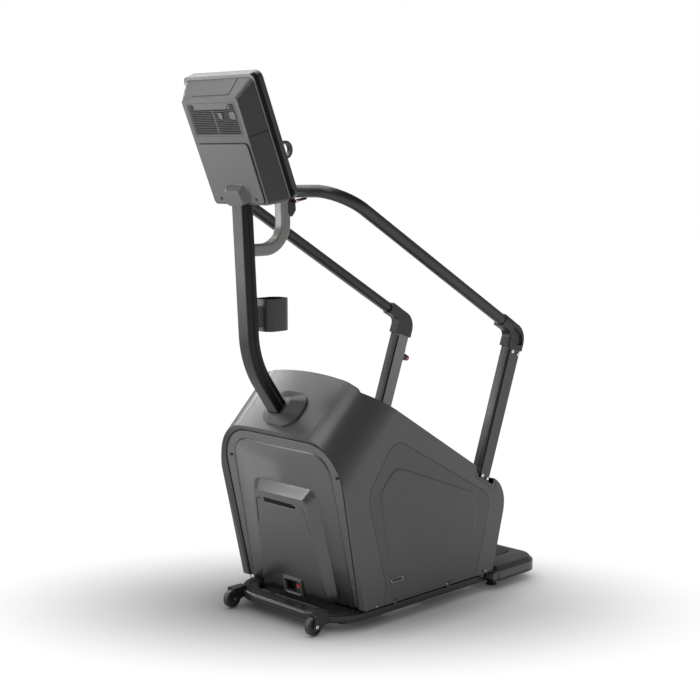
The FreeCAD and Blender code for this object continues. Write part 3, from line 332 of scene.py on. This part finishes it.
# Dark seams, and painted shade along the recess's left edge.
SEAM_AND_SHADE = finish("seam_and_shade_dark", 0.010, 0.6, edge=0)
SILVER = finish("bright_metal", 0.7, 0.25, metal=1.0, edge=0)


# ---------------------------------------------------------------- mesh helpers
def add_piece(name, data, material, body):
    """A named object that rides on a body."""
    thing = bpy.data.objects.new(name, data)
    bpy.context.scene.collection.objects.link(thing)
    data.materials.append(material)
    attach(thing, body)
    return thing


def oblong(low_u, high_u, low_v, high_v, radius):
    """The corners of a rectangle, each with its radius."""
    return [(low_u, low_v, radius), (high_u, low_v, radius), (high_u, high_v, radius),
            (low_u, high_v, radius)]


def rounded(outline, steps=5):
    """(u, v, radius) or sharp (u, v) corners to a list of points with tangent arcs."""
    points = []
    count = len(outline)
    for i, corner in enumerate(outline):
        here = Vector(corner[:2])
        if len(corner) < 3:
            points.append(here)
            continue
        radius = corner[2]
        before = (Vector(outline[i - 1][:2]) - here).normalized()
        after = (Vector(outline[(i + 1) % count][:2]) - here).normalized()
        half = before.angle(after) / 2
        centre = here + (before + after).normalized() * (radius / math.sin(half))
        first = here + before * (radius / math.tan(half)) - centre
        last = here + after * (radius / math.tan(half)) - centre
        turn = first.angle_signed(last)
        for step in range(steps + 1):
            angle = -turn * step / steps
            points.append(centre + Vector((first.x * math.cos(angle) - first.y * math.sin(angle),
                                           first.x * math.sin(angle) + first.y * math.cos(angle))))
    return points


def centre_of(points):
    return sum(points, Vector((0, 0))) / len(points)


def bridge(name, rings, material, caps=True, smooth=False, body="machine"):
    """A skin through closed rings of equally many points."""
    work = bmesh.new()
    loops = [[work.verts.new(point) for point in ring] for ring in rings]
    count = len(loops[0])
    for low, high in zip(loops, loops[1:]):
        for i in range(count):
            j = (i + 1) % count
            work.faces.new((low[i], low[j], high[j], high[i]))
    if caps:
        work.faces.new(list(reversed(loops[0])))
        work.faces.new(loops[-1])
    bmesh.ops.recalc_face_normals(work, faces=work.faces)
    for face in work.faces:
        face.smooth = smooth
    mesh = bpy.data.meshes.new(name)
    work.to_mesh(mesh)
    work.free()
    return add_piece(name, mesh, material, body)


def plate(name, outline, place, thick, ease, material):
    """A flat plate with eased edges; place maps (u, v, height) to the frame."""
    edge = rounded(outline)
    centre = centre_of(edge)

    def ring(inset, height):
        moved = [point + (centre - point).normalized() * inset for point in edge]
        return [place(point.x, point.y, height) for point in moved]

    rings = [ring(0, 0), ring(0, thick - ease), ring(ease * 0.3, thick - ease * 0.3), ring(ease, thick)]
    return bridge(name, rings, material)


def line(name, points, radius, material, closed=False):
    """A thin round bead along points, half sunk in the surface it marks."""
    curve = bpy.data.curves.new(name, "CURVE")
    curve.dimensions = "3D"
    curve.bevel_depth = radius * MM
    curve.bevel_resolution = 2
    run = curve.splines.new("POLY")
    run.points.add(len(points) - 1)
    for knot, point in zip(run.points, points):
        knot.co = (*point, 1.0)
    run.use_cyclic_u = closed
    return add_piece(name, curve, material, "machine")


# ---------------------------------------------------------------- console details
# A place on the console is (x, up, out): up along its tilted back, and out towards the user.
TILT = math.radians(22)
CONSOLE_UP = Vector((0, -math.sin(TILT), math.cos(TILT)))
CONSOLE_OUT = Vector((0, math.cos(TILT), math.sin(TILT)))
CONSOLE_FOOT = at(0, -72, 1653)
SHELL_BACK = -66.0
SHELL_DEPTH = 69
SHELL_TOP = 398.5        # the back face's upper edge
TOP_RISE = 50            # of the sloping top, from the back face to the front
RIM_HALF, RIM_LOW, RIM_HIGH = 200, -21, 461     # the outline where the bezel meets the shell
SEAM_UP = 250
VENT_ROWS, VENT_FIRST, VENT_PITCH, VENT_HALF = 17, 266.5, 6.7, 1.5
DOOR_HOLE_X, DOOR_HOLE_UP, DOOR_HOLE_HALF, DOOR_RAISED = 98, 14.5, 6.5, 5.4


def console(x, up, out):
    return CONSOLE_FOOT + Vector((x * MM, 0, 0)) + CONSOLE_UP * (up * MM) + CONSOLE_OUT * (out * MM)


def console_plane(out):
    """Heights grow backwards, away from the user."""
    return lambda u, v, h: console(u, v, out - h)


def console_side(u, v, h):
    """The console's right side: out, up and the height over the rim."""
    return console(RIM_HALF + 0.4 + h, v, u)


def console_top(x, share):
    """A point just over the shell's sloping top, from its back edge (0) to its front (1)."""
    return console(x, SHELL_TOP + TOP_RISE * share, SHELL_BACK + SHELL_DEPTH * share)


def on_back(outline, height):
    """An outline's points at a height over the shell's back face."""
    back = console_plane(SHELL_BACK)
    return [back(point.x, point.y, height) for point in rounded(outline)]


def build_gasket():
    """The dark joint between shell and bezel on the two sides, with its clips on the right one."""
    for name, side in SIDES:
        outline = rounded([(side * RIM_HALF, RIM_LOW, 28), (side * RIM_HALF, RIM_HIGH, 28), (0, RIM_HIGH),
                           (0, RIM_LOW)], 8)
        edge = [point for point in outline if side * point.x > RIM_HALF - 20]
        rings = [[console(point.x + side * grow, point.y, out) for point in edge]
                 for out, grow in ((4, -2), (6, 0.5), (21, 0.5), (22, -2))]
        bridge(f"console_gasket_{name}", rings, BLACK, caps=False)
    for name, up, out in (("high", 275, 14), ("low", 8, 17)):
        rim = oblong(out - 7, out + 7, up - 11, up + 11, 4)
        plate(f"gasket_clip_{name}", rim, console_side, 1.6, 1.0, BLACK)


def vent_spans(row):
    """The slots of one row, which leave room for the latch and the port and end under the raised field."""
    if row > 13:
        return [(-123, -100), (100, 123)]
    if row in (9, 10, 11):
        return [(-123, -4), (4, 23), (57, 83)]
    return [(-123, -4), (4, 123)]


def build_vents():
    """Painted shade in the slots between the louvres, as in the shell, and their frame."""
    for row in range(VENT_ROWS):
        up = VENT_FIRST + row * VENT_PITCH
        for k, (low, high) in enumerate(vent_spans(row)):
            slot = oblong(low, high, up - VENT_HALF, up + VENT_HALF, 1.3)
            # Painted shade: a black plate just inside each slit stands in for the dark within it.
            plate(f"vent_slot_shade_{row}_{k}", slot, console_plane(SHELL_BACK), -0.4, 0.1, BLACK)
    frame_edge = oblong(-134, 134, 256, 382, 8)
    line("vent_frame", on_back(frame_edge, 0.0), 0.9, MATERIALS["door_plastic"], True)


def build_latch_and_port():
    """The small latch and the round-cornered cover between the slots."""
    latch = oblong(34, 52, 320, 346, 4)
    plate("vent_latch", latch, console_plane(SHELL_BACK), 2.0, 1.0,
          MATERIALS["door_plastic"])
    line("latch_rim", on_back(latch, 0.4), 0.9, BLACK, True)
    port = oblong(90, 122, 318, 348, 9)
    plate("port_cover", port, console_plane(SHELL_BACK), 0.8, 0.5,
          MATERIALS["console_plastic"])
    line("port_rim", on_back(port, 0.2), 0.6, SEAM_AND_SHADE, True)


def build_door_edges():
    """The gap round the service door and painted shade in its two screw holes."""
    door = [(-138, -2, 16), (138, -2, 16), (140, 228, 16), (-140, 228, 16)]
    line("door_gap", on_back(door, 0.6), 2.0, BLACK, True)
    door_face = console_plane(SHELL_BACK - DOOR_RAISED)
    # Painted shade: black discs stand in for the dark inside the screw holes.
    for name, side in SIDES:
        x = side * DOOR_HOLE_X
        hole = oblong(x - DOOR_HOLE_HALF, x + DOOR_HOLE_HALF, DOOR_HOLE_UP - DOOR_HOLE_HALF,
                      DOOR_HOLE_UP + DOOR_HOLE_HALF, DOOR_HOLE_HALF - 0.1)
        plate(f"door_hole_shade_{name}", hole, door_face, 0.9, 0.3, BLACK)


def build_seams():
    """The hatch line on the shell's top and the seam across its right side."""
    hatch = [console_top(-100, 0.16), console_top(92, 0.16), console_top(104, 0.2), console_top(112, 0.95)]
    line("hatch_edge", hatch, 1.1, SEAM_AND_SHADE)
    seam = [console(154.6, SEAM_UP, SHELL_BACK), console(191.2, SEAM_UP, 0)]
    line("side_seam", seam, 0.7, BLACK)


def build_hook():
    """The open hook on the user's side of the bezel."""
    sections, reach, thick = 12, 28, 4.8
    hook_x, hook_up, hook_out = 184, 158, 50
    rings = []
    for step in range(sections + 1):
        turn = math.radians(-100 + 195 * step / sections)
        wide = 10 if 0 < step < sections else 7
        ring = []
        for x, deep in ((-wide, -thick), (wide, -thick), (wide, thick), (-wide, thick)):
            arm = reach + deep
            ring.append(console(hook_x + x, hook_up + arm * math.sin(turn), hook_out + arm * math.cos(turn)))
        rings.append(ring)
    bridge("console_hook", rings, MATERIALS["bezel_plastic"])


def build_console():
    build_gasket()
    build_door_edges()
    build_latch_and_port()
    build_seams()
    build_vents()
    build_hook()


build_console()


# ---------------------------------------------------------------- housing details
PANEL_LEAN = 0.21        # of the front panel, backwards per unit of height
PANEL_FOOT = 184         # d of its plane at floor height, seen along the lean
BLOCK_OUT = 37.6         # the raised block's face over the panel
SIDE_FACE = 354          # the housing's side, from the middle plane
SCREW_HALF = 3.0
FRONT_HOLE_Z, FRONT_HOLE_HALF = 611.6, 6.0


def side_plane(side, face):
    return lambda u, v, h: at(side * (face + h), u, v)


def panel(x, z, out):
    """A point over the leaning front panel: z measured up the frame, out along the panel's normal."""
    size = math.hypot(1, PANEL_LEAN)
    up = Vector((0, -PANEL_LEAN, 1)) * (z * MM)
    return at(x, PANEL_FOOT, 0) + up + Vector((0, -1, -PANEL_LEAN)) * (out * MM / size)


def block_face(u, v, h):
    return panel(u, v, BLOCK_OUT + 0.3 + h)


def relief(name, outline, place, wide, high, material):
    """A sloping edge round a slightly raised field."""
    edge = rounded(outline, 8)
    centre = centre_of(edge)

    def ring(grow, height):
        return [place(*(point + (point - centre).normalized() * grow), height) for point in edge]

    rings = [ring(wide, -0.2), ring(wide * 0.8, high * 0.15), ring(wide * 0.2, high * 0.85), ring(0, high),
             ring(-6, high)]
    return bridge(name, rings, material, smooth=True)


def build_front():
    """The front panel's raised field, edge gap, painted shade in its screw holes and slot, and the recess's
    two edges, painted as shade on the left and highlight on the right.
    """
    skin = nodes["front_shroud"].data.materials[0]
    swell = [(-289, 90), (-266, 690, 90), (266, 690, 90), (289, 90)]
    relief("front_swell", swell, panel, 12, 3.0, skin)
    gap = rounded([(-314, 42), (-336, 729, 150), (336, 729, 150), (314, 42)], 8)
    line("front_gap", [panel(point.x, point.y, 1.2) for point in gap], 1.7, BLACK)
    # Painted shade: black discs stand in for the dark inside the screw holes.
    for name, x in (("left", -294.5), ("right", 311.8)):
        hole = oblong(x - FRONT_HOLE_HALF, x + FRONT_HOLE_HALF, FRONT_HOLE_Z - FRONT_HOLE_HALF,
                      FRONT_HOLE_Z + FRONT_HOLE_HALF, FRONT_HOLE_HALF - 0.1)
        plate(f"front_hole_{name}", hole, panel, 1.4, 0.5, BLACK)
    slot = [(-92, 462, 5), (66, 462, 5), (74, 478, 3), (-97, 480, 2)]
    plate("slot_shade", slot, block_face, 0.5, 0.2, BLACK)
    # Painted shade: a dark bead along the recess's left wall, which lies in shade.
    left = [(-112, 474), (-128, 474), (-137, 468), (-141, 455), (-146, 410), (-151, 366)]
    line("recess_left_shade", [panel(x, z, BLOCK_OUT) for x, z in left], 2.2, SEAM_AND_SHADE)
    # Painted highlight: a light bead along the recess's right wall, which faces the light.
    right = [(98, 482), (118, 478), (130, 463), (136, 430), (143, 397), (152, 366)]
    line("recess_right_highlight", [panel(x, z, BLOCK_OUT) for x, z in right], 1.4,
         MATERIALS["door_plastic"])


def build_sides():
    """Each side panel's raised field, the rim of the upright's pocket and the sill screws."""
    field = [(318, 103), (268, 420, 40), (250, 528, 60), (332, 612, 60), (778, 442, 60), (800, 350, 60),
             (745, 103)]
    pocket = rounded([(803.6, 535), (796.3, 503.8, 8), (917.2, 431.2, 8), (929.5, 460.9)])
    for name, side in SIDES:
        relief(f"side_field_{name}", field, side_plane(side, SIDE_FACE), 14, 1.2, MATERIALS["panel_plastic"])
        rim = [at(side * (SIDE_FACE - 0.1), point.x, point.y) for point in pocket]
        line(f"pocket_rim_{name}", rim, 0.9, SEAM_AND_SHADE)
        for d, z in ((224, 91), (628, 92), (869, 95)):
            head = oblong(d - SCREW_HALF, d + SCREW_HALF, z - SCREW_HALF, z + SCREW_HALF, SCREW_HALF - 0.1)
            plate(f"sill_screw_{name}_{d}", head, side_plane(side, SIDE_FACE + 0.2), 1.2, 0.6,
                  SILVER)


def build_badge():
    """The blank oval plate low on the right side, with its bright rim."""
    badge = oblong(301, 367, 165, 184, 6.9)
    plate("side_badge", badge, side_plane(1, SIDE_FACE + 0.9), 1.1, 0.6,
          MATERIALS["lever_plastic"])
    rim = [at(SIDE_FACE + 2, point.x, point.y) for point in rounded(oblong(303, 365, 167, 182, 5.5))]
    line("badge_rim", rim, 0.9, SILVER, True)


# The uprights lean back: d of their front face at UPRIGHT_LOW, and its growth with height.
UPRIGHT_LOW, UPRIGHT_D, UPRIGHT_LEAN = 400, 798.5, 0.36183
GROOVE_FACES = (("outer", 336.9, 1), ("inner", 296.3, -1))
GROOVE_LOW, GROOVE_HIGH, GROOVE_START, GROOVE_END = 480, 1000, 4, 16
TRACK_LOW, TRACK_HIGH = 430, 1005


def upright_front(z):
    return UPRIGHT_D + UPRIGHT_LEAN * (z - UPRIGHT_LOW)


def groove_plane(side, face, out):
    return lambda u, v, h: at(side * (face + out * (h - 0.2)), u, v)


def track_plane(side):
    return lambda u, v, h: at(side * u, upright_front(v) + 0.2 - h, v)


def build_uprights():
    """The black inserts in the uprights' grooves and on half of their front faces."""
    low, high = upright_front(GROOVE_LOW), upright_front(GROOVE_HIGH)
    strip = [(low + GROOVE_START, GROOVE_LOW), (low + GROOVE_END, GROOVE_LOW),
             (high + GROOVE_END, GROOVE_HIGH), (high + GROOVE_START, GROOVE_HIGH)]
    for name, side in SIDES:
        for part, face, out in GROOVE_FACES:
            plate(f"groove_{part}_{name}", strip, groove_plane(side, face, out), 0.6, 0.2,
                  BLACK)
        start, end = (320, 334) if side > 0 else (299, 313)
        track = oblong(start, end, TRACK_LOW, TRACK_HIGH, 1)
        plate(f"front_track_{name}", track, track_plane(side), 0.6, 0.2,
              MATERIALS["rail_paint"])


# The roof's crown across the machine, where it ends at its rear edge, and the sloping rims behind it.
CROWN_TOP, CROWN_FLAT, CROWN_RADIUS, CORNER_RADIUS = 961, 184, 2000, 170
RIM_SLOPE, RIM_AT_AXLE, ROOF_END = 0.614, 1042.2, 210
RAMP_START, RAMP_WIDTH, RAMP_STEPS = 236.5, 40, 6


def crest_height(x):
    """The crowned roof's height at its rear edge."""
    sag = min(x, CROWN_FLAT) ** 2 / (2 * CROWN_RADIUS)
    if x > CROWN_FLAT:
        sag += CORNER_RADIUS - math.sqrt(CORNER_RADIUS ** 2 - (x - CROWN_FLAT) ** 2)
    return CROWN_TOP - ROOT2 * sag


def build_crest():
    """Small ramps that ease the roof's rear edge into the sloping rims."""
    foot = RIM_AT_AXLE - RIM_SLOPE * ROOF_END
    for name, side in SIDES:
        rings = []
        for step in range(RAMP_STEPS + 1):
            x = RAMP_START + RAMP_WIDTH * step / RAMP_STEPS
            drop = max(crest_height(x) - foot, 0.8)
            reach = 2.6 * drop
            profile = [(ROOF_END - 1, foot + drop), (ROOF_END + 1.2 * drop, foot + 0.3 * drop),
                       (ROOF_END + reach, foot - RIM_SLOPE * reach + 0.2), (ROOF_END - 1, foot - 3)]
            rings.append([at(side * x, d, z) for d, z in profile])
        bridge(f"crest_ramp_{name}", rings, MATERIALS["shroud_plastic"])


def build_inlet():
    """The inlet's raised, rounded rim."""
    rim = rounded(oblong(-52, 52, 92, 160, 12))
    centre = Vector((0, 126))
    rings = []
    for inset, out in ((0, 40), (0.5, 47), (3, 49), (9, 48), (11, 42)):
        rings.append([panel(*(point + (centre - point).normalized() * inset), out) for point in rim])
    bridge("inlet_rim", rings, MATERIALS["door_plastic"], caps=False, smooth=True)


def build_housing():
    build_crest()
    build_inlet()
    build_front()
    build_sides()
    build_badge()
    build_uprights()


build_housing()


# ---------------------------------------------------------------- lever details
def build_lever():
    """The bright collar and the red band near the stop lever's foot, across its stem."""
    start = at(36, 100, 1628)
    way = Vector((0.45, 0.86, 0.22)).normalized()
    side = way.cross(Vector((0, 0, 1))).normalized()
    lift = side.cross(way)
    turns = [2 * math.pi * i / 20 for i in range(20)]

    def ring(along, radius):
        centre = start + way * (along * MM)
        return [centre + (side * math.cos(turn) + lift * math.sin(turn)) * (radius * MM) for turn in turns]

    collar = [ring(1, 6.4), ring(2, 7.2), ring(11, 7.2), ring(12, 6.4)]
    bridge("lever_collar", collar, SILVER, smooth=True, body="lever")
    band = [ring(12, 6.4), ring(12.6, 7.0), ring(16.4, 7.0), ring(17, 6.4)]
    bridge("lever_band", band, MATERIALS["stop_red"], smooth=True, body="lever")


build_lever()


# ---------------------------------------------------------------- room, light and camera
FLOOR_REACH = 24.0
# Painted shadow: the shaded pool on the floor is an ellipse that lies square to the camera.
POOL_TURN = math.radians(-45)
POOL_CENTRE = (0.049, 0.102, 0.0)
POOL_WIDE, POOL_DEEP = 1.51, 0.86
POOL_REACH = 1.14
POOL_DARK, POOL_BRIGHT = 0.15, 1.05
FLOOR_GLOW = 0.96


def painted_floor_shadow(shader):
    """Painted shadow on the glowing floor: from dark under the machine to bright far out, darker again close
    to whatever stands there.
    """
    turned = shader.add("ShaderNodeMapping")
    turned.inputs["Rotation"].default_value = (0, 0, POOL_TURN)
    shader.link(shader.place, turned.inputs["Vector"])
    pool = shader.add("ShaderNodeMapping")
    pool.inputs["Location"].default_value = POOL_CENTRE
    pool.inputs["Scale"].default_value = (1 / POOL_WIDE, 1 / POOL_DEEP, 1.0)
    shader.link(turned.outputs[0], pool.inputs["Vector"])
    distance = shader.add("ShaderNodeVectorMath", operation="LENGTH")
    shader.link(pool.outputs[0], distance.inputs[0])
    fade = shader.add("ShaderNodeMapRange", interpolation_type="SMOOTHSTEP")
    fade.inputs["From Min"].default_value = 0.0
    fade.inputs["From Max"].default_value = POOL_REACH
    fade.inputs["To Min"].default_value = POOL_DARK
    fade.inputs["To Max"].default_value = POOL_BRIGHT
    shader.link(distance.outputs["Value"], fade.inputs["Value"])
    # Painted contact shadow: ambient occlusion darkens the glow close to whatever stands on the floor.
    near = shader.add("ShaderNodeAmbientOcclusion", samples=6)
    near.inputs["Distance"].default_value = 0.2
    return shader.compute("MULTIPLY", fade.outputs["Result"], near.outputs["AO"])


def floor_material():
    """White paper that glows evenly far out and falls into a painted shadow towards the machine."""
    shader = Shader("floor_white")
    shader.link(shader.blend(shader.noise(1.5), tint(0.79), tint(0.81)), shader.bsdf.inputs["Base Color"])
    shader.bsdf.inputs["Roughness"].default_value = 0.9
    shader.bsdf.inputs["Specular IOR Level"].default_value = 0.1
    glow = shader.add("ShaderNodeEmission")
    shader.link(painted_floor_shadow(shader), glow.inputs["Strength"])
    mixed = shader.add("ShaderNodeMixShader")
    mixed.inputs[0].default_value = FLOOR_GLOW
    shader.link(shader.bsdf.outputs["BSDF"], mixed.inputs[1])
    shader.link(glow.outputs["Emission"], mixed.inputs[2])
    shader.link(mixed.outputs["Shader"], shader.tree.nodes["Material Output"].inputs["Surface"])
    return shader.material


def stage_piece(name, work, material):
    mesh = bpy.data.meshes.new(name)
    work.to_mesh(mesh)
    work.free()
    mesh.materials.append(material)
    thing = bpy.data.objects.new(name, mesh)
    bpy.context.scene.collection.objects.link(thing)
    return thing


def build_room():
    """A white floor disc inside a white dome that only the camera sees."""
    work = bmesh.new()
    bmesh.ops.create_circle(work, cap_ends=True, segments=96, radius=FLOOR_REACH)
    floor = stage_piece("floor", work, floor_material())
    floor.location.z = -0.0005
    white = Shader("backdrop_white")
    glow = white.add("ShaderNodeEmission")
    white.link(glow.outputs["Emission"], white.tree.nodes["Material Output"].inputs["Surface"])
    work = bmesh.new()
    bmesh.ops.create_uvsphere(work, u_segments=64, v_segments=32, radius=FLOOR_REACH + 1)
    dome = stage_piece("backdrop", work, white.material)
    dome.visible_diffuse = False
    dome.visible_glossy = False
    dome.visible_transmission = False
    dome.visible_shadow = False


def build_world():
    """A room that is bright at the horizon and dim overhead."""
    world = bpy.data.worlds.new("studio")
    bpy.context.scene.world = world
    world.use_nodes = True
    tree = world.node_tree
    sky = tree.nodes["Background"]
    sky.inputs["Color"].default_value = (1.0, 1.0, 1.0, 1.0)
    coords = tree.nodes.new("ShaderNodeTexCoord")
    parts = tree.nodes.new("ShaderNodeSeparateXYZ")
    tree.links.new(coords.outputs["Generated"], parts.inputs[0])
    fall = tree.nodes.new("ShaderNodeMapRange")
    fall.inputs["From Max"].default_value = 0.5
    fall.inputs["To Min"].default_value = 0.52
    fall.inputs["To Max"].default_value = 0.06
    tree.links.new(parts.outputs["Z"], fall.inputs["Value"])
    tree.links.new(fall.outputs["Result"], sky.inputs["Strength"])


def softbox(name, place, target, width, height, power):
    lamp = bpy.data.lights.new(name, "AREA")
    lamp.shape = "RECTANGLE"
    lamp.size = width
    lamp.size_y = height
    lamp.energy = power
    thing = bpy.data.objects.new(name, lamp)
    thing.visible_camera = False
    bpy.context.scene.collection.objects.link(thing)
    thing.location = place
    thing.rotation_mode = "QUATERNION"
    thing.rotation_quaternion = (Vector(place) - Vector(target)).to_track_quat("Z", "Y")


def build_light():
    """A key at the front left, a wide dim box overhead and a small one high on the left."""
    softbox("key", (-1.9, -2.3, 1.5), (0, -0.3, 0.9), 1.0, 1.6, 30)
    softbox("overhead", (-1.4, -1.0, 4.3), (-1.0, -0.8, 0.5), 5.6, 3.0, 165)
    softbox("left", (-3.8, -0.2, 2.9), (0, -0.3, 0.9), 1.4, 1.4, 45)


def build_camera():
    lens = bpy.data.cameras.new("camera")
    lens.lens = 72.39
    lens.sensor_width = 36.0
    thing = bpy.data.objects.new("camera", lens)
    bpy.context.scene.collection.objects.link(thing)
    thing.location = (3.9693, axle.y - 3.5055, 1.8)
    thing.rotation_euler = (math.radians(82.1089), 0, math.radians(45.2446))
    bpy.context.scene.camera = thing
    bpy.context.scene.view_settings.view_transform = "Standard"


build_room()
build_world()
build_light()
build_camera()
